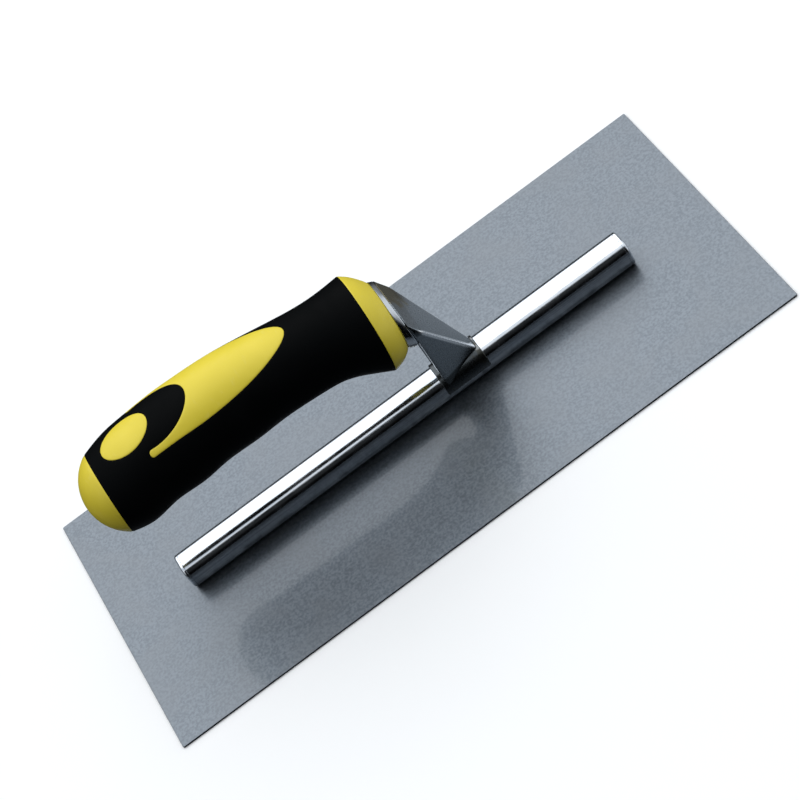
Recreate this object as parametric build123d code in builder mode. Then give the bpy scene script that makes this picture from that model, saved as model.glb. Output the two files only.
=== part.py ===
from build123d import *
import os
from math import cos, radians, sin

os.makedirs("parts", exist_ok=True)

# Finishing trowel: a flat rectangular blade, a box-section spine along its middle, a pressed
# neck that rises from the spine, and a two-colour handle drawn onto the neck by a hidden tang.
# Frame: origin at the middle of the blade's underside, +X along the blade towards its front
# end, +Z up out of the back of the blade. Millimetres.

# Blade
blade_length = 280.0
blade_width = 125.0
blade_thickness = 0.8
blade_corner = 0.6

# Spine: a rounded box tube that lies on the blade, with a pressed cap in each end
spine_rear = -105.6
spine_front = 103.5
spine_width = 13.0
spine_height = 13.1
spine_top_corner = 4.8
spine_low_corner = 4.0
spine_wall = 1.5
cap_plate = 1.6
cap_edge = 1.0
cap_spigot = 7.0
cap_play = 0.1

# Neck: a saddle over the spine, two cheeks and a sloping front plate that widens up to the boss
saddle_rear = 15.9
saddle_front = 35.8
saddle_thickness = 0.8
saddle_bottom = 6.5
neck_rear = 17.5
neck_wall = 2.0
neck_foot_front = 35.0
neck_bend_front = 21.4
neck_bend_z = 52.3
neck_top_front = 17.8
neck_top_z = 59.8
foot_half = (7.3, 2.8)
bend_half = (14.6, 14.6)
top_half = (14.1, 14.1)
fold_radius = 0.9

# Handle: its axis starts at the front face of the collar and rises towards the rear
handle_x = 14.6
handle_z = 56.7
handle_pitch = 6.0

# Boss: between the collar's front face and an upright face on the neck
boss_rear_rise = -1.35
boss_rear_radius = 14.4
boss_front_z = 53.5
boss_front_radius = 14.6

# Sections across the handle: distance from the collar's front face, rise above the axis, radius
collar_sections = [
    (0.2, -1.35, 14.5),
    (2.5, -0.7, 16.8),
    (5.4, 0.3, 18.9),
    (8.4, 1.2, 20.3),
]
grip_sections = [
    (8.4, 1.2, 20.3),
    (15.5, 2.8, 18.3),
    (24.5, 4.8, 16.4),
    (35.5, 5.8, 16.2),
    (54.0, 6.6, 17.2),
    (63.0, 6.3, 17.9),
    (79.0, 5.4, 18.3),
    (88.0, 4.0, 18.8),
    (101.0, 2.4, 18.4),
    (111.5, -0.3, 18.5),
    (120.4, -1.8, 16.5),
]
grip_skin = 2.6
dome_length = 9.6

# Inlays of the core that show through the sleeve, placed by distance along the handle
button_place = 104.4
button_length = 20.6
button_width = 15.4
leaf_tip = 36.0
leaf_tail = 99.8
leaf_half_widths = [(44.0, 7.4), (52.0, 10.3), (60.0, 12.1), (78.0, 13.7)]
leaf_tail_half = 13.3
leaf_hollow_place = 95.0
leaf_hollow_length = 35.2
leaf_hollow_width = 22.8
inlay_reach = 30.0

# Tang and its fastening, hidden in the handle
tang_radius = 4.0
tang_bore = 4.2
tang_front = -2.2
tang_rear = 108.0
pocket_radius = 10.0
pocket_floor = 97.0
washer_radius = 9.0
washer_thickness = 1.6
nut_across_flats = 13.0
nut_height = 6.5
cap_spigot_radius = 9.8
cap_spigot_hollow = 7.6
butt_spigot = 7.0

pitch = radians(handle_pitch)
rearwards = Vector(-cos(pitch), 0, sin(pitch))
upwards = Vector(sin(pitch), 0, cos(pitch))
handle_start = Vector(handle_x, 0, handle_z)
handle_plane = Plane(origin=handle_start, x_dir=(0, -1, 0), z_dir=rearwards)
spine_floor = blade_thickness
spine_middle_z = spine_floor + spine_height / 2
spine_top = spine_floor + spine_height
saddle_top = spine_top + saddle_thickness


def lofted(sections, skin=0.0):
    """A round body through sections across the handle, made smaller all round by skin."""
    with BuildPart() as body:
        for distance, rise, radius in sections:
            with BuildSketch(handle_plane.offset(distance)):
                with Locations((0, rise)):
                    Circle(radius - skin)
        loft()
    return body.part


def cylinder_along_handle(radius, start, end):
    """A round bar on the handle's axis, between two distances from the collar's front face."""
    with BuildPart() as bar:
        with BuildSketch(handle_plane.offset(start)):
            Circle(radius)
        extrude(amount=end - start)
    return bar.part


def spine_outline(inset=0.0):
    """The spine's cross-section, its top corners a little rounder, made smaller by inset."""
    with BuildSketch() as outline:
        with Locations((0, spine_middle_z)):
            Rectangle(spine_width - 2 * inset, spine_height - 2 * inset)
        fillet(outline.vertices().group_by(Axis.Y)[-1], spine_top_corner - inset)
        fillet(outline.vertices().group_by(Axis.Y)[0], spine_low_corner - inset)
    return outline.sketch


def spine_end_cap(outer_x, outwards):
    """A pressed cap: a plate with a rounded rim over the tube's end, and a spigot inside it."""
    seam_x = outer_x - outwards * cap_plate
    spigot_x = seam_x - outwards * cap_spigot
    with BuildPart() as cap:
        with BuildSketch(Plane.YZ.offset(outer_x)):
            add(spine_outline())
        extrude(amount=seam_x - outer_x)
        rim = cap.faces().sort_by(Axis.X)[-1 if outwards > 0 else 0].edges()
        fillet(rim, cap_edge)
        with BuildSketch(Plane.YZ.offset(seam_x)):
            add(spine_outline(spine_wall + cap_play))
        extrude(amount=spigot_x - seam_x)
    return cap


# Blade
with BuildPart() as blade:
    with BuildSketch():
        RectangleRounded(blade_length, blade_width, blade_corner)
    extrude(amount=blade_thickness)
blade.part.label = "blade"

# Spine tube
with BuildPart() as spine_tube:
    with BuildSketch(Plane.YZ.offset(spine_rear + cap_plate)):
        add(spine_outline())
        add(spine_outline(spine_wall), mode=Mode.SUBTRACT)
    extrude(amount=spine_front - spine_rear - 2 * cap_plate)
spine_tube.part.label = "spine_tube"

# Spine end caps
rear_end_cap = spine_end_cap(spine_rear, -1)
rear_end_cap.part.label = "rear_end_cap"
front_end_cap = spine_end_cap(spine_front, 1)
front_end_cap.part.label = "front_end_cap"


# Neck bracket
def neck_between(lower, upper, inset=0.0):
    """The body of the neck between two levels, made smaller by inset.

    A level is its height, the place of its front, and its half-widths at the rear and front.
    """
    with BuildPart() as body:
        for height, front, half_widths in (lower, upper):
            rear_half, front_half = (half - inset for half in half_widths)
            front_x = front - 1.1 * inset
            with BuildSketch(Plane.XY.offset(height)):
                Polygon(
                    (neck_rear - inset, -rear_half),
                    (front_x, -front_half),
                    (front_x, front_half),
                    (neck_rear - inset, rear_half),
                    align=None,
                )
        loft(ruled=True)
    return body.part


haunch = (spine_top - spine_top_corner, neck_foot_front, foot_half)
foot = (saddle_top, neck_foot_front, foot_half)
bend = (neck_bend_z, neck_bend_front, bend_half)
top = (neck_top_z, neck_top_front, top_half)

with BuildPart() as neck_bracket:
    add(neck_between(foot, bend))
    folds = neck_bracket.edges().filter_by(lambda edge: edge.center().X > neck_rear + 1)
    folds = folds.filter_by(lambda edge: saddle_top + 1 < edge.center().Z < neck_bend_z - 1)
    fillet(folds, fold_radius)
    add(neck_between(foot, bend, neck_wall), mode=Mode.SUBTRACT)
    add(neck_between(bend, top))
    add(neck_between(haunch, foot))
    with BuildSketch(Plane.YZ.offset(saddle_rear)):
        add(spine_outline(-saddle_thickness))
    extrude(amount=saddle_front - saddle_rear)
    with BuildSketch(Plane.YZ.offset(saddle_rear)):
        add(spine_outline())
        with Locations((0, saddle_bottom)):
            Rectangle(2 * spine_width, 2 * spine_height, align=(Align.CENTER, Align.MAX))
    extrude(amount=saddle_front - saddle_rear, mode=Mode.SUBTRACT)
neck_bracket.part.label = "neck_bracket"

# Neck boss: a short round block between the collar and the upright rear face of the neck
with BuildPart() as neck_boss:
    with BuildSketch(handle_plane.offset(collar_sections[0][0])):
        with Locations((0, boss_rear_rise)):
            Circle(boss_rear_radius)
    with BuildSketch(Plane.YZ.offset(neck_rear)):
        with Locations((0, boss_front_z)):
            Circle(boss_front_radius)
    loft(ruled=True)
    add(cylinder_along_handle(tang_radius, tang_front, 1.0), mode=Mode.SUBTRACT)
neck_boss.part.label = "neck_boss"

# Tang
with BuildPart() as tang:
    add(cylinder_along_handle(tang_radius, tang_front, tang_rear))
    chamfer(tang.edges().sort_by(Axis.X)[0], 0.8)
tang.part.label = "tang"

# Tang washer and nut
with BuildPart() as tang_washer:
    with BuildSketch(handle_plane.offset(pocket_floor)):
        Circle(washer_radius)
        Circle(tang_bore, mode=Mode.SUBTRACT)
    extrude(amount=washer_thickness)
tang_washer.part.label = "tang_washer"

with BuildPart() as tang_nut:
    with BuildSketch(handle_plane.offset(pocket_floor + washer_thickness)):
        RegularPolygon(nut_across_flats / 2, 6, major_radius=False)
        Circle(tang_radius, mode=Mode.SUBTRACT)
    extrude(amount=nut_height)
tang_nut.part.label = "tang_nut"

# Inlays: the oval button and the leaf, cut down from above to the surface of the grip
grip_body = lofted(grip_sections)
inlay_plane = Plane(
    origin=handle_start + upwards * inlay_reach, x_dir=rearwards, z_dir=upwards
)
with BuildPart() as inlays:
    with BuildSketch(inlay_plane):
        with BuildLine():
            sides = [(place, half) for place, half in leaf_half_widths]
            ends = [(leaf_tail, leaf_tail_half)]
            near = Spline((leaf_tip, 0), *sides, *ends, tangents=[(0, 1), (1, 0)])
            mirror(near, about=Plane.XZ)
            Line((leaf_tail, leaf_tail_half), (leaf_tail, -leaf_tail_half))
        make_face()
        with Locations((leaf_hollow_place, 0)):
            Ellipse(leaf_hollow_length / 2, leaf_hollow_width / 2, mode=Mode.SUBTRACT)
        with Locations((button_place, 0)):
            Ellipse(button_length / 2, button_width / 2)
    extrude(amount=-inlay_reach)
    add(grip_body, mode=Mode.INTERSECT)

# Handle core: collar, barrel and inlays in one moulding
with BuildPart() as core_blank:
    add(lofted(grip_sections, grip_skin))
    add(lofted(collar_sections))
    add(inlays.part)

with BuildPart() as handle_core:
    add(core_blank.part)
    add(cylinder_along_handle(tang_bore, -1.0, pocket_floor + 1.0), mode=Mode.SUBTRACT)
    add(cylinder_along_handle(pocket_radius, pocket_floor, 125.0), mode=Mode.SUBTRACT)
handle_core.part.label = "handle_core"

# Grip sleeve: the soft skin moulded round the core, open where the inlays come through
with BuildPart() as grip_sleeve:
    add(grip_body)
    add(core_blank.part, mode=Mode.SUBTRACT)
grip_sleeve.part.label = "grip_sleeve"

# Butt cap: a dome with a hollow spigot that snaps into the core's nut pocket
dome_place, dome_rise, dome_radius = grip_sections[-1]
dome_plane = Plane(
    origin=handle_start + rearwards * dome_place + upwards * dome_rise,
    x_dir=upwards,
    z_dir=Vector(0, -1, 0),
)
arc_offset = (dome_radius**2 - dome_length**2) / (2 * dome_length)
arc_radius = dome_length + arc_offset
arc_middle = radians(35)
with BuildPart() as butt_cap:
    with BuildSketch(dome_plane):
        with BuildLine():
            Polyline((dome_radius, 0), (0, 0), (0, dome_length))
            ThreePointArc(
                (0, dome_length),
                (arc_radius * sin(arc_middle), arc_radius * cos(arc_middle) - arc_offset),
                (dome_radius, 0),
            )
        make_face()
    revolve(axis=Axis(dome_plane.origin, rearwards))
    add(cylinder_along_handle(cap_spigot_radius, dome_place - butt_spigot, dome_place + 0.5))
    add(
        cylinder_along_handle(cap_spigot_hollow, dome_place - butt_spigot, dome_place + 2.0),
        mode=Mode.SUBTRACT,
    )
butt_cap.part.label = "butt_cap"

export_step(blade.part, "parts/blade.step")
export_step(spine_tube.part, "parts/spine_tube.step")
export_step(rear_end_cap.part, "parts/rear_end_cap.step")
export_step(front_end_cap.part, "parts/front_end_cap.step")
export_step(neck_bracket.part, "parts/neck_bracket.step")
export_step(neck_boss.part, "parts/neck_boss.step")
export_step(tang.part, "parts/tang.step")
export_step(tang_washer.part, "parts/tang_washer.step")
export_step(tang_nut.part, "parts/tang_nut.step")
export_step(handle_core.part, "parts/handle_core.step")
export_step(grip_sleeve.part, "parts/grip_sleeve.step")
export_step(butt_cap.part, "parts/butt_cap.step")
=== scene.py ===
from math import asin, cos, pi, radians, sin, sqrt

import bmesh
import bpy
import numpy as np
from mathutils import Matrix, Vector
from mathutils.geometry import delaunay_2d_cdt
from mathutils.kdtree import KDTree


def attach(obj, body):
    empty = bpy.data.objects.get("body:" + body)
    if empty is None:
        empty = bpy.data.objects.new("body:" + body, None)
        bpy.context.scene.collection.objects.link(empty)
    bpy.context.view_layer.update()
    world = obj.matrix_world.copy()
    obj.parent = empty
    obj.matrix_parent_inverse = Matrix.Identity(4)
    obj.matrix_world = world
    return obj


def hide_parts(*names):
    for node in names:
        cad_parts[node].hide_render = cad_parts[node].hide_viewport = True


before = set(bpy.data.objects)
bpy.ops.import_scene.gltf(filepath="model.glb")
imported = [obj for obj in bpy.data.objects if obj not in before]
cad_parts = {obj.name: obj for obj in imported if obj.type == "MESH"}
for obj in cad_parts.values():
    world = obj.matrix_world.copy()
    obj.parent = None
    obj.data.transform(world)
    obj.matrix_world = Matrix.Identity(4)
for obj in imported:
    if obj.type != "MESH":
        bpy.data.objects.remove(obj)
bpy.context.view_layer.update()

# Finishing trowel. Shapes are worked out in millimetres and scaled to metres when a mesh is made.
# +X runs along the blade to its front end, +Z points up out of the back of the blade.
mm = 0.001

# Camera, in metres and degrees
camera_target = Vector((-0.0004, 0.01136, 0.0))
camera_distance = 0.9168
camera_azimuth = 0.3
camera_elevation = 49.14
camera_roll = -36.67
camera_lens = 106.49
camera_sensor = 36
camera_far = 50

# Studio, in metres and watts
floor_reach = 4.0
floor_drop = 0.0002
lamp_place = Vector((0.0, 1.5, 2.5))
lamp_size = 4.0
lamp_power = 58.0

# Blade
blade_length = 280.0
blade_width = 125.0
blade_thickness = 0.8
blade_corner = 0.6
blade_bevel = 0.12
weld_places = [-92.0, -62.0, -32.0, -2.0, 28.0, 58.0, 88.0]
weld_radius = 3.1
weld_depth = 0.14

# Spine
spine_rear = -105.6
spine_front = 103.5
spine_width = 13.0
spine_height = 13.1
spine_top_corner = 4.8
spine_low_corner = 4.0
spine_wall = 1.5
cap_plate = 1.6
cap_edge = 1.0
cap_flat_inset = 2.2
cap_spigot = 7.0
cap_play = 0.1
seam_round = 0.15

# Neck
saddle_rear = 15.9
saddle_front = 35.8
saddle_thickness = 0.8
saddle_bottom = 6.5
saddle_round = 0.35
saddle_lip_round = 0.2
saddle_gap = 0.02
neck_rear = 17.5
neck_wall = 2.0
neck_foot_z = 9.1
neck_bend_z = 52.3
neck_top_z = 59.8
neck_levels = [
    # height, front, half-width at the rear, half-width at the front
    (neck_foot_z, 35.0, 7.3, 2.8),
    (14.7, 35.0, 7.3, 2.8),
    (neck_bend_z, 21.4, 14.6, 14.6),
    (neck_top_z, 17.8, 14.1, 14.1),
]
neck_ring_heights = [neck_foot_z, 14.7, 18.0, 22.0, 28.0, 34.0, 40.0, 46.0]
neck_ring_heights += [neck_bend_z - 0.4, neck_bend_z + 0.2, 55.0, 57.5, neck_top_z]
neck_least_hollow = 0.35
neck_top_hollow = 0.4
front_plate_share = 1.1
rear_edge_round = 1.5
fold_round = 1.0
inner_rear_round = 0.3
inner_fold_round = 0.25
bead_x = 17.6
bead_reach = 12.8
bead_z = 59.2
bead_radius = 0.6
bead_least_radius = 0.05
bead_pitch = 1.1
bead_ripple = 0.12

# Handle
handle_start = Vector((14.6, 0.0, 56.7))
handle_pitch = radians(6.0)
rearwards = Vector((-cos(handle_pitch), 0.0, sin(handle_pitch)))
upwards = Vector((sin(handle_pitch), 0.0, cos(handle_pitch)))
sideways = Vector((0.0, 1.0, 0.0))
handle_turns = 96

# Boss
boss_rear = 0.2
boss_rear_rise = -1.35
boss_rear_radius = 14.4
boss_front_z = 53.5
boss_front_radius = 14.6
boss_round = 0.5
boss_round_share = 0.14
boss_flat_inset = 1.5
tang_front = -2.2
tang_hole = 4.05

# Sections across the handle: distance from its start, rise above the axis, radius
collar_sections = [
    (0.2, -1.35, 14.5),
    (2.5, -0.7, 16.8),
    (5.4, 0.3, 18.9),
    (8.4, 1.2, 20.3),
]
grip_sections = [
    (8.4, 1.2, 20.3),
    (15.5, 2.8, 18.3),
    (24.5, 4.8, 16.4),
    (35.5, 5.8, 16.2),
    (54.0, 6.6, 17.2),
    (63.0, 6.3, 17.9),
    (79.0, 5.4, 18.3),
    (88.0, 4.0, 18.8),
    (101.0, 2.4, 18.4),
    (111.5, -0.3, 18.5),
    (120.4, -1.8, 16.5),
]
grip_front = 8.4
grip_rear = 120.4
grip_skin = 2.6
inlay_root = 3.2
skin_trim = 0.01
collar_rim = 0.7
collar_rim_drop = 0.8
core_bore = 4.2
pocket_radius = 10.0
pocket_floor = 97.0

# Butt cap
dome_length = 9.6
dome_seam_height = 0.3
butt_spigot = 7.0
butt_spigot_radius = 9.8
butt_hollow_radius = 7.6
butt_hollow_reach = 2.0

# Groove between the yellow and the black: distance from its middle, depth
seam_half_width = 0.32
seam_depth = 0.16
seam_profile = [
    (-seam_half_width, 0.0),
    (-0.12, 0.05),
    (0.0, seam_depth),
    (0.12, 0.05),
    (seam_half_width, 0.0),
]

# Inlays, by distance along the handle and half-width
leaf_tip = 36.0
leaf_tail = 99.8
leaf_half_widths = [(44.0, 7.4), (52.0, 10.3), (60.0, 12.1), (78.0, 13.7), (99.8, 13.3)]
leaf_hollow_place = 95.0
leaf_hollow_half_length = 17.6
leaf_hollow_half_width = 11.4
button_place = 104.4
button_half_length = 10.3
button_half_width = 7.7

# Mesh of the grip's surface
outline_spacing = 0.45
grid_step = 1.4
grid_margin = 1.0
grid_turns = 92
grid_clearance = 0.5
unrolled_radius = 18.0
merge_distance = 1e-5


# Curves -------------------------------------------------------------------------------------

def spline_through(knots):
    """A natural cubic curve through (place, value) pairs, as a function of place."""
    places = np.array([place for place, value in knots], float)
    values = np.array([value for place, value in knots], float)
    gaps = np.diff(places)
    count = len(places)
    system = np.eye(count)
    target = np.zeros(count)
    for i in range(1, count - 1):
        system[i, i - 1] = gaps[i - 1]
        system[i, i] = 2 * (gaps[i - 1] + gaps[i])
        system[i, i + 1] = gaps[i]
        slopes = np.diff(values)[i - 1 : i + 1] / gaps[i - 1 : i + 1]
        target[i] = 6 * (slopes[1] - slopes[0])
    bends = np.linalg.solve(system, target)

    def curve(place):
        i = int(np.clip(np.searchsorted(places, place) - 1, 0, count - 2))
        before = place - places[i]
        after = places[i + 1] - place
        straight = (values[i] * after + values[i + 1] * before) / gaps[i]
        bow = bends[i] * (after**3 / gaps[i] - gaps[i] * after)
        bow += bends[i + 1] * (before**3 / gaps[i] - gaps[i] * before)
        return float(straight + bow / 6)

    return curve


def resampled(loop, spacing):
    """A closed outline with its points moved to equal steps along it."""
    points = [Vector(point) for point in loop]
    points.append(points[0])
    lengths = [0.0]
    for start, end in zip(points, points[1:]):
        lengths.append(lengths[-1] + (end - start).length)
    count = int(round(lengths[-1] / spacing))
    result = []
    i = 0
    for step in range(count):
        reach = lengths[-1] * step / count
        while lengths[i + 1] < reach:
            i += 1
        share = (reach - lengths[i]) / (lengths[i + 1] - lengths[i])
        result.append(points[i].lerp(points[i + 1], share))
    return result


def offset_outline(loop, reach):
    """A closed outline moved outwards by reach, or inwards where reach is negative."""
    area = sum(a.x * b.y - b.x * a.y for a, b in zip(loop, loop[1:] + loop[:1]))
    turn = 1 if area > 0 else -1
    result = []
    for i, point in enumerate(loop):
        along = (loop[(i + 1) % len(loop)] - loop[i - 1]).normalized()
        result.append(point + Vector((along.y, -along.x)) * turn * reach)
    return result


def quarter_round(steps):
    """A rounded edge of radius 1, from its face to its side, as pairs of set-back and inset."""
    pairs = []
    for step in range(steps + 1):
        angle = pi / 2 * step / steps
        pairs.append((1 - cos(angle), 1 - sin(angle)))
    return pairs


def rounded_rectangle(width, height, top_corner, low_corner, segments):
    """A closed outline round the origin, with a point beside each corner on every flat."""
    support = 0.15
    quarters = [(1, 1, top_corner), (-1, 1, top_corner), (-1, -1, low_corner), (1, -1, low_corner)]
    outline = []
    for quarter, (sign_a, sign_b, radius) in enumerate(quarters):
        middle = Vector((sign_a * (width / 2 - radius), sign_b * (height / 2 - radius)))
        start = quarter * pi / 2
        first = Vector((cos(start), sin(start)))
        last = Vector((-first.y, first.x))
        outline.append(middle + first * radius - last * support)
        for step in range(segments + 1):
            angle = start + pi / 2 * step / segments
            outline.append(middle + radius * Vector((cos(angle), sin(angle))))
        outline.append(middle + last * radius - first * support)
    return outline


def rounded_corner(before, corner, after, radius, segments=6):
    """Points round a corner of a flat outline, which starts to bend where a fillet would."""
    arrive = (corner - before).normalized()
    leave = (after - corner).normalized()
    turn = arrive.angle(leave)
    cut = radius * abs(sin(turn / 2) / cos(turn / 2))
    start = corner - arrive * cut
    end = corner + leave * cut
    points = []
    for step in range(segments + 1):
        share = step / segments
        first = start.lerp(corner, share)
        second = corner.lerp(end, share)
        points.append(first.lerp(second, share))
    return points


# Meshes -------------------------------------------------------------------------------------

def skin(rings, looped=False):
    """Points and faces of a closed surface through rings that have equal numbers of points.

    Its two ends are capped, or joined to each other where it is looped.
    """
    count = len(rings[0])
    points = [point for ring in rings for point in ring]
    faces = []
    pairs = list(zip(range(len(rings) - 1), range(1, len(rings))))
    if looped:
        pairs.append((len(rings) - 1, 0))
    for low, high in pairs:
        for i in range(count):
            j = (i + 1) % count
            faces.append((low * count + i, low * count + j, high * count + j, high * count + i))
    if not looped:
        last = (len(rings) - 1) * count
        faces.append(tuple(reversed(range(count))))
        faces.append(tuple(last + i for i in range(count)))
    return points, faces


def make_piece(name, node, shapes, material, sharp=38.0):
    """One mesh object from closed shapes, standing for a CAD node and riding on the root body."""
    points = []
    faces = []
    for shape_points, shape_faces in shapes:
        start = len(points)
        points.extend(Vector(point) * mm for point in shape_points)
        faces.extend(tuple(start + i for i in face) for face in shape_faces)
    mesh = bpy.data.meshes.new(name)
    mesh.from_pydata(points, [], faces)
    work = bmesh.new()
    work.from_mesh(mesh)
    bmesh.ops.remove_doubles(work, verts=work.verts, dist=0.002 * mm)
    bmesh.ops.recalc_face_normals(work, faces=work.faces)
    work.to_mesh(mesh)
    work.free()
    mesh.materials.append(material)
    for face in mesh.polygons:
        face.use_smooth = True
    mesh.set_sharp_from_angle(angle=radians(sharp))
    piece = bpy.data.objects.new(name, mesh)
    bpy.context.scene.collection.objects.link(piece)
    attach(piece, "root")
    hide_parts(node)
    return piece


# Materials ----------------------------------------------------------------------------------

class Finish:
    """A node material with one Principled shader and textures measured in millimetres."""

    def __init__(self, name, metallic, roughness, specular=0.5):
        self.material = bpy.data.materials.new(name)
        self.material.use_nodes = True
        self.tree = self.material.node_tree
        self.shader = self.tree.nodes["Principled BSDF"]
        self.set("Metallic", metallic)
        self.set("Roughness", roughness)
        self.set("Specular IOR Level", specular)
        place = self.tree.nodes.new("ShaderNodeTexCoord")
        scale = self.vector_node("SCALE", place.outputs["Object"])
        scale.inputs["Scale"].default_value = 1 / mm
        self.place = scale.outputs[0]

    def set(self, socket, value):
        """One value for the whole surface, on the shader itself."""
        self.shader.inputs[socket].default_value = value

    def feed(self, socket, value):
        """A value that varies over the surface."""
        self.tree.links.new(value, self.shader.inputs[socket])

    def vector_node(self, operation, first, second=None):
        """A vector sum on a linked first vector and a fixed second one."""
        node = self.tree.nodes.new("ShaderNodeVectorMath")
        node.operation = operation
        self.tree.links.new(first, node.inputs[0])
        if second is not None:
            node.inputs[1].default_value = second
        return node

    def noise(self, scale, detail, stretch=None, distortion=0.0):
        """Noise with scale cells to the millimetre, more along the axes with a high stretch."""
        node = self.tree.nodes.new("ShaderNodeTexNoise")
        node.inputs["Scale"].default_value = scale
        node.inputs["Detail"].default_value = detail
        node.inputs["Distortion"].default_value = distortion
        source = self.place
        if stretch is not None:
            source = self.vector_node("MULTIPLY", self.place, stretch).outputs[0]
        self.tree.links.new(source, node.inputs["Vector"])
        return node.outputs["Fac"]

    def remap(self, value, low, high, to_low=0.0, to_high=1.0, smooth=False):
        """A value's range from low to high turned into another range, and held at its ends."""
        node = self.tree.nodes.new("ShaderNodeMapRange")
        node.interpolation_type = "SMOOTHSTEP" if smooth else "LINEAR"
        for i, number in enumerate((low, high, to_low, to_high), 1):
            node.inputs[i].default_value = number
        self.tree.links.new(value, node.inputs[0])
        return node.outputs[0]

    def maths(self, operation, first, second):
        """A sum on two values, where the second may be a plain number."""
        node = self.tree.nodes.new("ShaderNodeMath")
        node.operation = operation
        self.tree.links.new(first, node.inputs[0])
        if isinstance(second, float):
            node.inputs[1].default_value = second
        else:
            self.tree.links.new(second, node.inputs[1])
        return node.outputs[0]

    def blend(self, share, first, second):
        """A colour that goes from first to second by share."""
        node = self.tree.nodes.new("ShaderNodeMix")
        node.data_type = "RGBA"
        self.tree.links.new(share, node.inputs["Factor"])
        for socket, value in ((node.inputs[6], first), (node.inputs[7], second)):
            if isinstance(value, tuple):
                socket.default_value = (*value, 1)
            else:
                self.tree.links.new(value, socket)
        return node.outputs[2]

    def height(self):
        """The height above the ground, in millimetres."""
        node = self.tree.nodes.new("ShaderNodeSeparateXYZ")
        self.tree.links.new(self.place, node.inputs[0])
        return node.outputs["Z"]

    def away_from(self, point):
        """The distance to a point, in millimetres."""
        return self.vector_node("DISTANCE", self.place, point).outputs["Value"]

    def away_from_line(self, start, end):
        """The distance to a line on the +Y side or to its mirror image, in millimetres."""
        along = (end - start).normalized()
        mirrored = self.vector_node("ABSOLUTE", self.place).outputs[0]
        from_start = self.vector_node("SUBTRACT", mirrored, start).outputs[0]
        square_to_line = self.vector_node("CROSS_PRODUCT", from_start, along).outputs[0]
        return self.vector_node("LENGTH", square_to_line).outputs["Value"]

    def bump(self, relief, strength, depth):
        node = self.tree.nodes.new("ShaderNodeBump")
        node.inputs["Strength"].default_value = strength
        node.inputs["Distance"].default_value = depth * mm
        self.tree.links.new(relief, node.inputs["Height"])
        self.feed("Normal", node.outputs[0])


def blade_finish():
    """Rolled spring steel: a satin grain over a faint polish, with long fine scratches."""
    dark_steel = (0.122, 0.141, 0.163)
    pale_steel = (0.182, 0.207, 0.235)
    worn_steel = (0.165, 0.180, 0.197)
    finish = Finish("blade_steel", metallic=1.0, roughness=0.42)
    finish.set("Coat Weight", 1.0)
    finish.set("Coat Roughness", 0.07)
    finish.set("Coat IOR", 1.3)
    grain = finish.noise(0.95, 5.0, distortion=0.3)
    scratches = finish.noise(1.0, 4.0, stretch=(0.08, 2.0, 1.0))
    cloud = finish.noise(0.035, 3.0, distortion=0.4)
    grain_part = finish.maths("MULTIPLY", grain, 0.8)
    scratches_part = finish.maths("MULTIPLY", scratches, 0.2)
    mixed = finish.maths("ADD", grain_part, scratches_part)
    sheet = finish.blend(finish.remap(mixed, 0.40, 0.60), dark_steel, pale_steel)
    wear_and_fold_highlight = finish.remap(cloud, 0.42, 0.66, to_high=0.35, smooth=True)
    finish.feed("Base Color", finish.blend(wear_and_fold_highlight, sheet, worn_steel))
    finish.feed("Roughness", finish.remap(mixed, 0.3, 0.7, to_low=0.40, to_high=0.52))
    finish.bump(mixed, strength=0.18, depth=0.02)
    return finish.material


def painted_shade_edge_finish():
    """The sheared edge of the blade, with painted shade: its colour is kept dark to stand for the
    dark surroundings it reflects, with marks across it.
    """
    dark_steel = (0.05, 0.055, 0.065)
    pale_steel = (0.12, 0.125, 0.14)
    finish = Finish("blade_edge", metallic=1.0, roughness=0.45)
    marks = finish.noise(1.6, 3.0, stretch=(1.0, 1.0, 0.2))
    finish.feed("Base Color", finish.blend(marks, dark_steel, pale_steel))
    finish.feed("Roughness", finish.remap(marks, 0.3, 0.7, to_low=0.38, to_high=0.55))
    finish.bump(marks, strength=0.3, depth=0.03)
    return finish.material


def zinc_finish():
    """Bright plated steel: drawing lines along its length, and painted shade low down by the blade.
    """
    dull_zinc = (0.66, 0.70, 0.75)
    bright_zinc = (0.78, 0.81, 0.85)
    line_grey = (0.34, 0.39, 0.45)
    # The near-black colour and the two heights below are painted shade along the spine's foot, where
    # it meets the blade.
    painted_spine_shade_black = (0.06, 0.065, 0.075)
    painted_spine_shade_top = 6.6
    painted_spine_shade_full = 3.6
    finish = Finish("zinc_plate", metallic=1.0, roughness=0.16)
    lines = finish.noise(1.0, 3.0, stretch=(0.012, 1.6, 1.6))
    cloud = finish.noise(0.12, 3.0, distortion=0.6)
    plate = finish.blend(finish.remap(cloud, 0.35, 0.65), dull_zinc, bright_zinc)
    drawn = finish.remap(lines, 0.46, 0.66, to_high=0.65, smooth=True)
    lined = finish.blend(drawn, plate, line_grey)
    wander = finish.remap(cloud, 0.3, 0.7, to_low=-0.7, to_high=0.7)
    height = finish.maths("ADD", finish.height(), wander)
    # Painted shade: the zinc is blended to near black towards the blade.
    painted_spine_shade = finish.remap(height, painted_spine_shade_top, painted_spine_shade_full, to_high=0.9, smooth=True)
    finish.feed("Base Color", finish.blend(painted_spine_shade, lined, painted_spine_shade_black))
    finish.feed("Roughness", finish.remap(cloud, 0.3, 0.7, to_low=0.12, to_high=0.22))
    finish.bump(lines, strength=0.10, depth=0.02)
    return finish.material


def front_fold(level):
    """Where the neck's front plate folds into its +Y cheek, at one of its levels."""
    height, front, rear_half, front_half = level
    return Vector((front, front_half, height))


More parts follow.
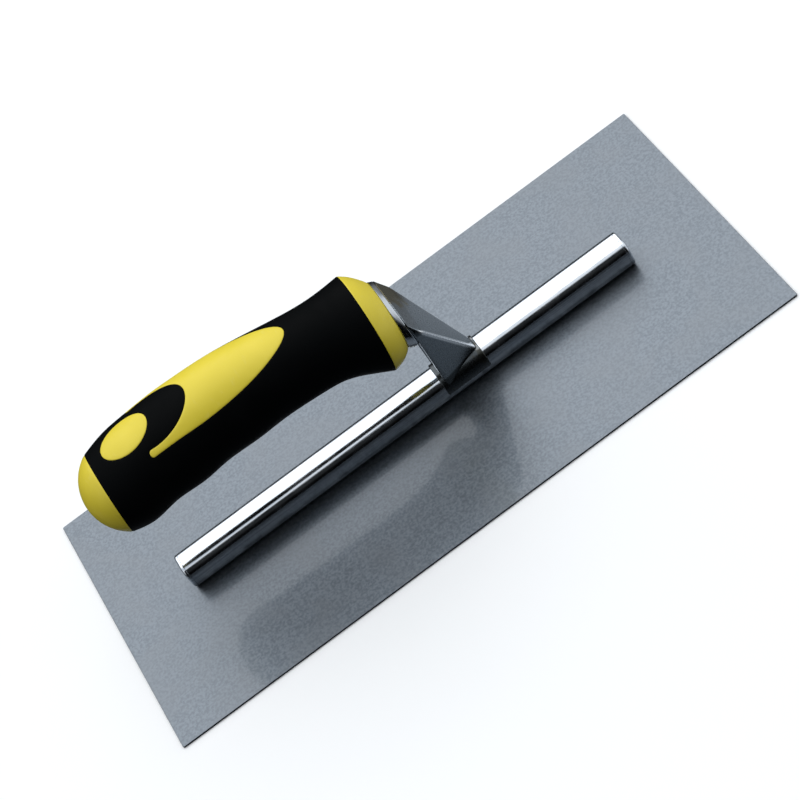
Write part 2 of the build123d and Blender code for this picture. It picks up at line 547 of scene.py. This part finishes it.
def neck_finish():
    """Satin steel with a painted highlight along its front folds, a brown weld heat tint at its foot,
    a brown at its top that is heat tint and a painted reflection of the yellow collar, and painted
    shade over the saddle.
    """
    dark_steel = (0.205, 0.235, 0.26)
    pale_steel = (0.275, 0.305, 0.33)
    straw_tint = (0.215, 0.20, 0.15)
    brown_tint = (0.17, 0.152, 0.095)
    # The near-white colour is a painted highlight along the front folds.
    painted_fold_highlight = (0.93, 0.95, 0.97)
    # The near-black colour is painted shade over the saddle and the neck's foot.
    painted_saddle_shade_black = (0.045, 0.05, 0.052)
    top_weld = (18.0, 11.0, 58.0)
    foot_weld = (35.5, -5.0, 12.5)
    # Heights of the painted shade over the saddle and the neck's foot.
    painted_saddle_shade_top = 16.0
    painted_saddle_shade_full = 14.6
    finish = Finish("neck_steel", metallic=1.0, roughness=0.3)
    grain = finish.noise(1.5, 3.0)
    drift = finish.noise(0.25, 3.0)
    steel = finish.blend(finish.remap(grain, 0.35, 0.65), dark_steel, pale_steel)
    wander = finish.remap(drift, 0.3, 0.7, to_low=-3.0, to_high=3.0)
    from_top = finish.maths("ADD", finish.away_from(top_weld), wander)
    from_foot = finish.maths("ADD", finish.away_from(foot_weld), wander)
    # Brown round the top weld is weld heat tint with a painted reflection of the yellow collar in it;
    # the brown at the foot is weld heat tint.
    top_heat_and_painted_reflection = finish.remap(from_top, 13.0, 6.0, smooth=True)
    foot_heat = finish.remap(from_foot, 4.5, 1.0, smooth=True)
    heat_and_painted_reflection = finish.maths("MAXIMUM", top_heat_and_painted_reflection, foot_heat)
    straw = finish.blend(finish.remap(heat_and_painted_reflection, 0.0, 0.5), steel, straw_tint)
    tinted = finish.blend(finish.remap(heat_and_painted_reflection, 0.5, 1.0), straw, brown_tint)
    # Painted highlight: the colour goes near white along both front folds, standing for the bright
    # line they reflect.
    from_fold = finish.away_from_line(front_fold(neck_levels[1]), front_fold(neck_levels[2]))
    wear_and_fold_highlight = finish.remap(from_fold, 1.5, 0.8, to_high=0.9, smooth=True)
    scuffs_and_fold_highlight = finish.blend(wear_and_fold_highlight, tinted, painted_fold_highlight)
    # Painted shade: below these heights the saddle and the neck's foot go near black.
    painted_saddle_shade = finish.remap(finish.height(), painted_saddle_shade_top, painted_saddle_shade_full, to_high=0.85, smooth=True)
    finish.feed("Base Color", finish.blend(painted_saddle_shade, scuffs_and_fold_highlight, painted_saddle_shade_black))
    finish.feed("Roughness", finish.remap(grain, 0.3, 0.7, to_low=0.24, to_high=0.34))
    finish.bump(grain, strength=0.15, depth=0.03)
    return finish.material


def boss_finish():
    """Turned steel, plated bright, with fine rings round it."""
    dull_plate = (0.52, 0.55, 0.59)
    bright_plate = (0.66, 0.69, 0.72)
    finish = Finish("boss_steel", metallic=1.0, roughness=0.2)
    cloud = finish.noise(0.3, 3.0)
    rings = finish.noise(1.0, 2.0, stretch=(6.0, 0.3, 0.3))
    finish.feed("Base Color", finish.blend(cloud, dull_plate, bright_plate))
    finish.feed("Roughness", finish.remap(cloud, 0.3, 0.7, to_low=0.16, to_high=0.26))
    finish.bump(rings, strength=0.12, depth=0.02)
    return finish.material


def fixing_finish():
    """Plain bright steel of the tang, nut and washer inside the handle."""
    dark_steel = (0.42, 0.43, 0.45)
    pale_steel = (0.60, 0.61, 0.63)
    finish = Finish("fixing_steel", metallic=1.0, roughness=0.35)
    grain = finish.noise(1.2, 3.0)
    finish.feed("Base Color", finish.blend(grain, dark_steel, pale_steel))
    finish.feed("Roughness", finish.remap(grain, 0.3, 0.7, to_low=0.28, to_high=0.45))
    finish.bump(grain, strength=0.2, depth=0.03)
    return finish.material


def yellow_finish():
    """Satin moulded plastic with a faint flow in its colour and a fine spark-eroded texture."""
    deep_yellow = (0.71, 0.575, 0.038)
    bright_yellow = (0.765, 0.62, 0.052)
    scuffed_yellow = (0.75, 0.64, 0.16)
    finish = Finish("yellow_plastic", metallic=0.0, roughness=0.4, specular=0.3)
    flow = finish.noise(0.05, 3.0, distortion=0.8)
    texture = finish.noise(3.2, 2.0)
    scuffs = finish.noise(0.5, 4.0, stretch=(1.0, 0.35, 1.0))
    colour = finish.blend(finish.remap(flow, 0.3, 0.7), deep_yellow, bright_yellow)
    scuffs_and_fold_highlight = finish.remap(scuffs, 0.58, 0.78, to_high=0.25, smooth=True)
    finish.feed("Base Color", finish.blend(scuffs_and_fold_highlight, colour, scuffed_yellow))
    finish.feed("Roughness", finish.remap(scuffs, 0.3, 0.75, to_low=0.34, to_high=0.48))
    finish.bump(texture, strength=0.12, depth=0.03)
    return finish.material


def rubber_finish():
    """Soft black rubber: matt, with a fine grain and slightly polished patches."""
    deep_black = (0.0008, 0.0011, 0.0013)
    handled_black = (0.0018, 0.0022, 0.0025)
    finish = Finish("black_rubber", metallic=0.0, roughness=0.6, specular=0.03)
    grain = finish.noise(2.6, 2.0)
    handling = finish.noise(0.06, 3.0, distortion=0.5)
    finish.feed("Base Color", finish.blend(handling, deep_black, handled_black))
    finish.feed("Roughness", finish.remap(handling, 0.35, 0.65, to_low=0.52, to_high=0.66))
    finish.bump(grain, strength=0.25, depth=0.05)
    return finish.material


# Blade --------------------------------------------------------------------------------------

def blade_outline(inset):
    length = blade_length - 2 * inset
    width = blade_width - 2 * inset
    corner = blade_corner - inset
    return rounded_rectangle(length, width, corner, corner, segments=5)


def blade_underside():
    """The underside, with a shallow round mark under each spot weld."""
    outline = blade_outline(blade_bevel)
    points = list(outline)
    heights = [0.0] * len(points)
    edges = [(i, (i + 1) % len(outline)) for i in range(len(outline))]
    turns = 28
    rings = 7
    for place in weld_places:
        points.append(Vector((place, 0.0)))
        heights.append(weld_depth)
        for ring in range(1, rings + 2):
            radius = weld_radius * ring / rings
            share = min(radius / weld_radius, 1.0)
            for turn in range(turns):
                angle = 2 * pi * turn / turns
                points.append(Vector((place + radius * cos(angle), radius * sin(angle))))
                heights.append(weld_depth * cos(share * pi / 2) ** 2)
    flat, _, faces, sources, _, _ = delaunay_2d_cdt(points, edges, [], 1, merge_distance, True)
    raised = [(p.x, p.y, heights[source[0]]) for p, source in zip(flat, sources)]
    return raised, faces


def make_blade(sheet, painted_shade_edge):
    """The sheet with its bevelled edges, whose flat underside gives way to the marked one."""
    levels = [
        # height, inset
        (0.0, blade_bevel),
        (blade_bevel, 0.0),
        (blade_thickness - blade_bevel, 0.0),
        (blade_thickness, blade_bevel),
    ]
    rings = [[(p.x, p.y, z) for p in blade_outline(inset)] for z, inset in levels]
    points, faces = skin(rings)
    faces.pop(-2)
    shapes = [(points, faces), blade_underside()]
    piece = make_piece("blade_sheet", "blade", shapes, sheet, sharp=25.0)
    # The steep edge faces take the edge material, whose dark colour is painted shade.
    piece.data.materials.append(painted_shade_edge)
    steepest_sheet = 0.3
    for face in piece.data.polygons:
        if abs(face.normal.z) < steepest_sheet:
            face.material_index = 1


# Spine --------------------------------------------------------------------------------------

def spine_outer(x, inset=0.0):
    """The spine's outline at a place along it, made smaller by inset."""
    middle_z = blade_thickness + spine_height / 2
    outline = rounded_rectangle(
        spine_width - 2 * inset,
        spine_height - 2 * inset,
        spine_top_corner - inset,
        spine_low_corner - inset,
        segments=12,
    )
    return [(x, p.x, middle_z + p.y) for p in outline]


def spine_inner(x, play=0.0):
    return spine_outer(x, spine_wall + play)


def make_spine(plate):
    """The tube, with its outer edges eased where the caps meet it."""
    rear = spine_rear + cap_plate
    front = spine_front - cap_plate
    rings = [
        spine_outer(rear, seam_round),
        spine_outer(rear + seam_round),
        spine_outer(front - seam_round),
        spine_outer(front, seam_round),
        spine_inner(front),
        spine_inner(rear),
    ]
    make_piece("spine_bar", "spine_tube", [skin(rings, looped=True)], plate)


def make_spine_cap(name, node, outer_x, outwards, plate):
    """A pressed cap with a rounded rim and a spigot that plugs the tube."""
    rings = [spine_outer(outer_x, cap_flat_inset)]
    for back, inset in quarter_round(6):
        rings.append(spine_outer(outer_x - outwards * cap_edge * back, cap_edge * inset))
    seam_x = outer_x - outwards * cap_plate
    rings.append(spine_outer(seam_x + outwards * seam_round))
    rings.append(spine_outer(seam_x, seam_round))
    rings.append(spine_inner(seam_x, cap_play))
    rings.append(spine_inner(seam_x - outwards * cap_spigot, cap_play))
    make_piece(name, node, [skin(rings)], plate)


# Neck ---------------------------------------------------------------------------------------

def neck_at(height):
    """Front place, rear half-width and front half-width of the neck at a height."""
    for low, high in zip(neck_levels, neck_levels[1:]):
        if height <= high[0]:
            share = (height - low[0]) / (high[0] - low[0])
            return [a + (b - a) * share for a, b in zip(low[1:], high[1:])]
    return list(neck_levels[-1][1:])


def neck_ring(height):
    """The channel's outline: round the outside of the front plate and back along its inside.

    The front plate leans back, so it measures a little more than its wall along the level.
    Above the bend the cheeks are closed up and only a shallow hollow is left at the rear.
    """
    front, rear_half, front_half = neck_at(height)
    inner_front = neck_rear + neck_top_hollow
    if height < neck_bend_z:
        inner_front = front - front_plate_share * neck_wall
    outer = [Vector((neck_rear, -rear_half)), Vector((front, -front_half))]
    inner = [
        Vector((inner_front, -max(front_half - neck_wall, neck_least_hollow))),
        Vector((neck_rear, -(rear_half - neck_wall))),
    ]
    corners = outer + [Vector((p.x, -p.y)) for p in reversed(outer)]
    corners += [Vector((p.x, -p.y)) for p in reversed(inner)] + inner
    largest = 0.3 * (front - neck_rear)
    outer_rounds = [min(rear_edge_round, largest), min(fold_round, largest)]
    inner_rounds = [inner_rear_round, inner_fold_round]
    rounds = outer_rounds + outer_rounds[::-1] + inner_rounds + inner_rounds[::-1]
    ring = []
    for i, corner in enumerate(corners):
        before = corners[i - 1]
        after = corners[(i + 1) % len(corners)]
        ring.extend(rounded_corner(before, corner, after, rounds[i]))
    return [(p.x, p.y, height) for p in ring]


def neck_channel():
    return skin([neck_ring(height) for height in neck_ring_heights])


def saddle_profile(reach):
    """Half outline of the saddle at a reach outside the spine, from its side to its middle."""
    half = spine_width / 2 + reach
    top = blade_thickness + spine_height + reach
    corner = spine_top_corner + reach
    middle = Vector((half - corner, top - corner))
    steps = 12
    points = [Vector((half, middle.y - 0.15))]
    for step in range(steps + 1):
        angle = pi / 2 * step / steps
        points.append(Vector((middle.x + corner * cos(angle), middle.y + corner * sin(angle))))
    points.append(Vector((middle.x - 0.1, top)))
    return points


def saddle_ring(x, inset):
    """The saddle's outline across the spine, its outer surface and lip drawn in by inset."""
    outer_half = spine_width / 2 + saddle_thickness - inset
    inner_half = spine_width / 2 + saddle_gap
    lip = saddle_bottom + inset
    lip_ease = 0.3 * saddle_lip_round
    outside = [
        Vector((outer_half - saddle_lip_round, lip)),
        Vector((outer_half - lip_ease, lip + lip_ease)),
        Vector((outer_half, lip + saddle_lip_round)),
    ]
    outside += saddle_profile(saddle_thickness - inset)
    underneath = [Vector((inner_half, lip))] + saddle_profile(saddle_gap)
    loop = [Vector((-p.x, p.y)) for p in outside]
    loop += list(reversed(outside))
    loop += underneath
    loop += [Vector((-p.x, p.y)) for p in reversed(underneath)]
    return [(x, p.x, p.y) for p in loop]


def saddle():
    """The strap over the spine that the neck's foot stands on, with rounded ends."""
    edge = [(saddle_round * back, saddle_round * inset) for back, inset in quarter_round(4)]
    rings = [saddle_ring(saddle_rear + back, inset) for back, inset in edge]
    rings += [saddle_ring(saddle_front - back, inset) for back, inset in reversed(edge)]
    return skin(rings)


def weld_bead(start, end, radius):
    """A weld bead: a round bar whose thickness ripples from one end to the other."""
    along = (end - start).normalized()
    across = along.orthogonal().normalized()
    upright = along.cross(across)
    length = (end - start).length
    steps_per_ripple = 6
    steps = int(length / bead_pitch * steps_per_ripple)
    turns = 12
    rings = []
    for step in range(steps + 1):
        share = step / steps
        taper = sqrt(max(1 - (2 * share - 1) ** 6, 0.0))
        ripple = 1 + bead_ripple * sin(2 * pi * share * length / bead_pitch)
        size = max(radius * taper * ripple, bead_least_radius)
        middle = start.lerp(end, share)
        ring = []
        for turn in range(turns):
            angle = 2 * pi * turn / turns
            ring.append(middle + (across * cos(angle) + upright * sin(angle)) * size)
        rings.append(ring)
    return skin(rings)


def make_neck(steel):
    """The channel, its saddle, and the weld between the neck's top and the boss."""
    left = Vector((bead_x, -bead_reach, bead_z))
    right = Vector((bead_x, bead_reach, bead_z))
    shapes = [neck_channel(), saddle(), weld_bead(left, right, bead_radius)]
    make_piece("neck", "neck_bracket", shapes, steel)


# Handle -------------------------------------------------------------------------------------

collar_rise = spline_through([(place, rise) for place, rise, radius in collar_sections])
collar_radius = spline_through([(place, radius) for place, rise, radius in collar_sections])
grip_rise = spline_through([(place, rise) for place, rise, radius in grip_sections])
grip_radius = spline_through([(place, radius) for place, rise, radius in grip_sections])


def handle_point(place, rise, radius, angle):
    """A point at a distance along the handle and an angle from its top towards +Y."""
    out = upwards * (rise + radius * cos(angle)) + sideways * (radius * sin(angle))
    return handle_start + rearwards * place + out


def round_ring(place, rise, radius):
    """A circle across the handle."""
    angles = [2 * pi * turn / handle_turns for turn in range(handle_turns)]
    return [handle_point(place, rise, radius, angle) for angle in angles]


def collar_ring(place, drop=0.0):
    return round_ring(place, collar_rise(place), collar_radius(place) - drop)


def boss_ring(share, inset):
    """A ring round the boss, from its rear face against the collar to its upright front face."""
    rear_middle = handle_start + rearwards * boss_rear + upwards * boss_rear_rise
    front_middle = Vector((neck_rear, 0.0, boss_front_z))
    ring = []
    for turn in range(handle_turns):
        angle = 2 * pi * turn / handle_turns
        rear_out = upwards * cos(angle) + sideways * sin(angle)
        front_out = Vector((0, sin(angle), cos(angle)))
        rear_point = rear_middle + rear_out * (boss_rear_radius - inset)
        front_point = front_middle + front_out * (boss_front_radius - inset)
        ring.append(rear_point.lerp(front_point, share))
    return ring


def make_boss(steel):
    """The block between neck and collar, with the tang's hole let into its rear face."""
    edge = [(boss_round_share * back, boss_round * inset) for back, inset in quarter_round(4)]
    rings = [boss_ring(1.0, boss_flat_inset)]
    rings += [boss_ring(1.0 - back, inset) for back, inset in edge]
    rings += [boss_ring(back, inset) for back, inset in reversed(edge)]
    rings.append(round_ring(boss_rear, 0.0, tang_hole))
    rings.append(round_ring(tang_front, 0.0, tang_hole))
    make_piece("boss", "neck_boss", [skin(rings)], steel)


def leaf_outline():
    """The leaf: a rounded tip, bowed sides, and two rounded tails either side of a hollow."""
    side_steps = 240
    tail_steps = 12
    hollow_steps = 120
    roots = [(0.0, 0.0)]
    roots += [(sqrt(place - leaf_tip), half) for place, half in leaf_half_widths]
    half_by_root = spline_through(roots)

    def half(place):
        return half_by_root(sqrt(place - leaf_tip))

    def hollow_half(place):
        share = (place - leaf_hollow_place) / leaf_hollow_half_length
        return leaf_hollow_half_width * sqrt(max(1 - share * share, 0.0))

    tail_radius = (half(leaf_tail) - hollow_half(leaf_tail)) / 2
    tail_start = leaf_tail - tail_radius
    tail_middle = (half(tail_start) + hollow_half(tail_start)) / 2
    tail_half = (half(tail_start) - hollow_half(tail_start)) / 2
    side = []
    last_root = sqrt(tail_start - leaf_tip)
    for step in range(side_steps + 1):
        root = last_root * step / side_steps
        side.append((leaf_tip + root * root, half_by_root(root)))
    for step in range(1, tail_steps):
        angle = pi * step / tail_steps
        side.append((tail_start + tail_radius * sin(angle), tail_middle + tail_half * cos(angle)))
    hollow_end = asin((leaf_hollow_place - tail_start) / leaf_hollow_half_length)
    for step in range(hollow_steps + 1):
        angle = hollow_end + (pi / 2 - hollow_end) * step / hollow_steps
        place = leaf_hollow_place - leaf_hollow_half_length * sin(angle)
        side.append((place, leaf_hollow_half_width * cos(angle)))
    other = [(place, -half_width) for place, half_width in reversed(side[1:-1])]
    return resampled(side + other, outline_spacing)


def button_outline():
    """The oval button behind the leaf."""
    steps = 360
    points = []
    for step in range(steps):
        angle = 2 * pi * step / steps
        along = button_place + button_half_length * cos(angle)
        points.append((along, button_half_width * sin(angle)))
    return resampled(points, outline_spacing)


def unrolled(outline):
    """An inlay's plan, seen from above, laid on the grip's surface and unrolled flat."""
    angles = [asin(point.y / grip_radius(point.x)) for point in outline]
    return [Vector((point.x, angle * unrolled_radius)) for point, angle in zip(outline, angles)]


def inside(points, outline):
    """Which of the points lie inside a closed outline."""
    found = np.zeros(len(points), bool)
    for a, b in zip(outline, outline[1:] + outline[:1]):
        crosses = (a.y > points[:, 1]) != (b.y > points[:, 1])
        if a.y != b.y:
            at = a.x + (points[:, 1] - a.y) / (b.y - a.y) * (b.x - a.x)
            found ^= crosses & (points[:, 0] < at)
    return found


def grip_places():
    """Distances along the grip for its rows of points, and how far each is sunk.

    Each end of the grip goes down into the middle of a groove.
    """
    start = [(grip_front + reach, depth) for reach, depth in seam_profile[2:]]
    end = [(grip_rear + reach, depth) for reach, depth in seam_profile[:3]]
    span = grip_rear - grip_front - 2 * grid_margin
    count = int(span / grid_step)
    first = grip_front + grid_margin
    middle = [(first + span / count * i, 0.0) for i in range(count + 1)]
    return start + middle + end


def grip_surface():
    """The grip's surface unrolled and cut into triangles along the outlines of the inlays."""
    half_turn = pi * unrolled_radius
    plans = [leaf_outline(), button_outline()]
    points = []
    depths = []
    edges = []
    for plan in plans:
        for reach, depth in seam_profile:
            loop = unrolled(offset_outline(plan, reach))
            start = len(points)
            points.extend(loop)
            depths.extend([depth] * len(loop))
            edges.extend((start + i, start + (i + 1) % len(loop)) for i in range(len(loop)))
    tree = KDTree(len(points))
    for i, point in enumerate(points):
        tree.insert(point.to_3d(), i)
    tree.balance()
    for place, depth in grip_places():
        for turn in range(grid_turns + 1):
            point = Vector((place, (2 * turn / grid_turns - 1) * half_turn))
            distance = tree.find(point.to_3d())[2]
            if distance > grid_clearance:
                points.append(point)
                depths.append(depth)
    flat, _, faces, sources, _, _ = delaunay_2d_cdt(points, edges, [], 0, merge_distance, True)
    flat = [Vector(point) for point in flat]
    sunk = [depths[source[0]] for source in sources]
    middles = np.array([[sum(flat[i][k] for i in face) / 3 for k in (0, 1)] for face in faces])
    in_leaf = inside(middles, unrolled(plans[0]))
    in_button = inside(middles, unrolled(plans[1]))
    return flat, sunk, faces, in_leaf, in_button


def shell(flat, sunk, faces, skin_depth):
    """A closed shell over part of the grip's surface, skin_depth thick."""
    used = sorted({i for face in faces for i in face})
    number = {old: new for new, old in enumerate(used)}
    outer = []
    inner = []
    for i in used:
        place, turned = flat[i]
        angle = turned / unrolled_radius
        radius = grip_radius(place)
        rise = grip_rise(place)
        outer.append(handle_point(place, rise, radius - skin_trim - sunk[i], angle))
        inner.append(handle_point(place, rise, radius - skin_depth, angle))
    top = [tuple(number[i] for i in face) for face in faces]
    count = len(used)
    bottom = [tuple(count + i for i in reversed(face)) for face in top]
    directed = {(a, b) for face in top for a, b in zip(face, face[1:] + face[:1])}
    # The surface meets itself under the handle, so it has no wall there
    meeting_line = pi * unrolled_radius - 0.001
    walls = []
    for a, b in sorted(directed):
        if (b, a) in directed:
            continue
        if abs(flat[used[a]][1]) > meeting_line and abs(flat[used[b]][1]) > meeting_line:
            continue
        walls.append((b, a, count + a, count + b))
    return outer + inner, top + bottom + walls


def core_body():
    """The collar, the barrel under the sleeve, the nut pocket and the bore, as one shape."""
    collar_steps = 12
    barrel_steps = 36
    rings = [round_ring(boss_rear, 0.0, core_bore)]
    for back, inset in quarter_round(5):
        rings.append(collar_ring(boss_rear + collar_rim * back, collar_rim * inset * collar_rim_drop))
    collar_start = boss_rear + collar_rim
    collar_length = grip_front - seam_half_width - collar_start
    for step in range(1, collar_steps + 1):
        rings.append(collar_ring(collar_start + collar_length * step / collar_steps))
    for reach, depth in seam_profile[1:3]:
        rings.append(collar_ring(grip_front + reach, depth))
    for step in range(barrel_steps + 1):
        place = grip_front + (grip_rear - grip_front) * step / barrel_steps
        rings.append(round_ring(place, grip_rise(place), grip_radius(place) - grip_skin))
    rings.append(round_ring(grip_rear, 0.0, pocket_radius))
    rings.append(round_ring(pocket_floor, 0.0, pocket_radius))
    rings.append(round_ring(pocket_floor, 0.0, core_bore))
    return skin(rings, looped=True)


def make_handle(plastic, rubber):
    """The yellow core with its two inlays, and the rubber sleeve that they come through."""
    flat, sunk, faces, in_leaf, in_button = grip_surface()
    leaf = [face for face, here in zip(faces, in_leaf) if here]
    button = [face for face, here in zip(faces, in_button) if here]
    sleeve = [face for face, a, b in zip(faces, in_leaf, in_button) if not (a or b)]
    core = [
        core_body(),
        shell(flat, sunk, leaf, inlay_root),
        shell(flat, sunk, button, inlay_root),
    ]
    make_piece("handle_body", "handle_core", core, plastic)
    rubber_shell = shell(flat, sunk, sleeve, grip_skin)
    make_piece("rubber_grip", "grip_sleeve", [rubber_shell], rubber)


def make_butt_cap(plastic):
    """The dome over the end of the handle, and the hollow spigot under it."""
    steps = 24
    place, rise, radius = grip_sections[-1]
    centre_back = (radius**2 - dome_length**2) / (2 * dome_length)
    arc_radius = dome_length + centre_back
    widest = asin(radius / arc_radius)
    rings = []
    for step in range(1, steps + 1):
        angle = widest * step / steps
        height = arc_radius * cos(angle) - centre_back
        drop = seam_depth * max(1 - height / dome_seam_height, 0.0) ** 2
        rings.append(round_ring(place + height, rise, arc_radius * sin(angle) - drop))
    rings.append(round_ring(place, 0.0, butt_spigot_radius))
    rings.append(round_ring(place - butt_spigot, 0.0, butt_spigot_radius))
    rings.append(round_ring(place - butt_spigot, 0.0, butt_hollow_radius))
    rings.append(round_ring(place + butt_hollow_reach, 0.0, butt_hollow_radius))
    make_piece("end_dome", "butt_cap", [skin(rings)], plastic)


# Fixings ------------------------------------------------------------------------------------

def finish_fixings(steel):
    """The rod, washer and nut inside the handle stay as the CAD has them, with a finish."""
    for name in ("tang", "tang_washer", "tang_nut"):
        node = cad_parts[name]
        node.data.materials.clear()
        node.data.materials.append(steel)


# Surroundings -------------------------------------------------------------------------------

def make_camera():
    azimuth = radians(camera_azimuth)
    elevation = radians(camera_elevation)
    roll = radians(camera_roll)
    back = Vector((sin(azimuth) * cos(elevation), -cos(azimuth) * cos(elevation), sin(elevation)))
    level = Vector((0, 0, 1)).cross(back).normalized()
    upright = back.cross(level)
    right = level * cos(roll) + upright * sin(roll)
    up = upright * cos(roll) - level * sin(roll)
    place = camera_target + back * camera_distance
    camera = bpy.data.objects.new("camera", bpy.data.cameras.new("camera"))
    camera.data.lens = camera_lens
    camera.data.sensor_width = camera_sensor
    camera.data.clip_end = camera_far
    camera.matrix_world = Matrix(
        (
            (right.x, up.x, back.x, place.x),
            (right.y, up.y, back.y, place.y),
            (right.z, up.z, back.z, place.z),
            (0, 0, 0, 1),
        )
    )
    bpy.context.scene.collection.objects.link(camera)
    bpy.context.scene.camera = camera


def make_floor():
    """A plain white floor, which doesn't light the trowel or show in its metal."""
    signs = [(-1, -1), (1, -1), (1, 1), (-1, 1)]
    corners = [(floor_reach * a, floor_reach * b, 0) for a, b in signs]
    mesh = bpy.data.meshes.new("floor")
    mesh.from_pydata(corners, [], [(0, 1, 2, 3)])
    floor = bpy.data.objects.new("floor", mesh)
    floor.location.z = -floor_drop
    bpy.context.scene.collection.objects.link(floor)
    finish = Finish("floor", metallic=0.0, roughness=0.7, specular=0.2)
    finish.set("Base Color", (0.93, 0.93, 0.93, 1))
    mesh.materials.append(finish.material)
    floor.visible_diffuse = False
    floor.visible_glossy = False


def make_world():
    """A pale studio with dark ground, a white card beyond the +X end, and a dark -Y side."""
    world = bpy.data.worlds.new("studio")
    world.use_nodes = True
    tree = world.node_tree
    background = tree.nodes["Background"]
    direction = tree.nodes.new("ShaderNodeTexCoord")
    split = tree.nodes.new("ShaderNodeSeparateXYZ")
    tree.links.new(direction.outputs["Generated"], split.inputs[0])
    x = split.outputs["X"]
    y = split.outputs["Y"]
    z = split.outputs["Z"]

    def ramp(value, low, high, to_low=0.0, to_high=1.0):
        node = tree.nodes.new("ShaderNodeMapRange")
        node.interpolation_type = "SMOOTHSTEP"
        for i, number in enumerate((low, high, to_low, to_high), 1):
            node.inputs[i].default_value = number
        tree.links.new(value, node.inputs[0])
        return node.outputs[0]

    def combined(operation, first, second):
        node = tree.nodes.new("ShaderNodeMath")
        node.operation = operation
        tree.links.new(first, node.inputs[0])
        tree.links.new(second, node.inputs[1])
        return node.outputs[0]

    sky = ramp(z, 0.12, 0.52)
    front_ground = ramp(x, 0.30, 0.62, to_low=0.03, to_high=0.28)
    front_card = ramp(x, 0.76, 0.90)
    ground = combined("MAXIMUM", front_ground, front_card)
    towards_ends = combined("MULTIPLY", x, x)
    ends_glow = ramp(towards_ends, 0.06, 0.50, to_high=0.40)
    above_ground = ramp(z, -0.02, 0.12)
    ends = combined("MULTIPLY", ends_glow, above_ground)
    bright = combined("MAXIMUM", combined("MAXIMUM", sky, ends), ground)
    away_from_dark_side = ramp(y, -0.60, -0.48, to_low=0.02)
    near_ends = ramp(towards_ends, 0.20, 0.45)
    lit_share = combined("MAXIMUM", away_from_dark_side, near_ends)
    background.inputs["Color"].default_value = (0.92, 0.96, 1.0, 1)
    tree.links.new(combined("MULTIPLY", bright, lit_share), background.inputs["Strength"])
    bpy.context.scene.world = world


def make_light():
    """One large soft panel, high on the +Y side and aimed at the trowel."""
    lamp = bpy.data.lights.new("panel", "AREA")
    lamp.energy = lamp_power
    lamp.size = lamp_size
    panel = bpy.data.objects.new("panel", lamp)
    panel.location = lamp_place
    panel.rotation_euler = (-lamp_place).to_track_quat("-Z", "Y").to_euler()
    bpy.context.scene.collection.objects.link(panel)


# Trowel -------------------------------------------------------------------------------------

zinc = zinc_finish()
yellow = yellow_finish()
make_blade(blade_finish(), painted_shade_edge_finish())
make_spine(zinc)
make_spine_cap("spine_end_rear", "rear_end_cap", spine_rear, -1, zinc)
make_spine_cap("spine_end_front", "front_end_cap", spine_front, 1, zinc)
make_neck(neck_finish())
make_boss(boss_finish())
make_handle(yellow, rubber_finish())
make_butt_cap(yellow)
finish_fixings(fixing_finish())

make_camera()
make_floor()
make_world()
make_light()
bpy.context.scene.view_settings.view_transform = "Standard"
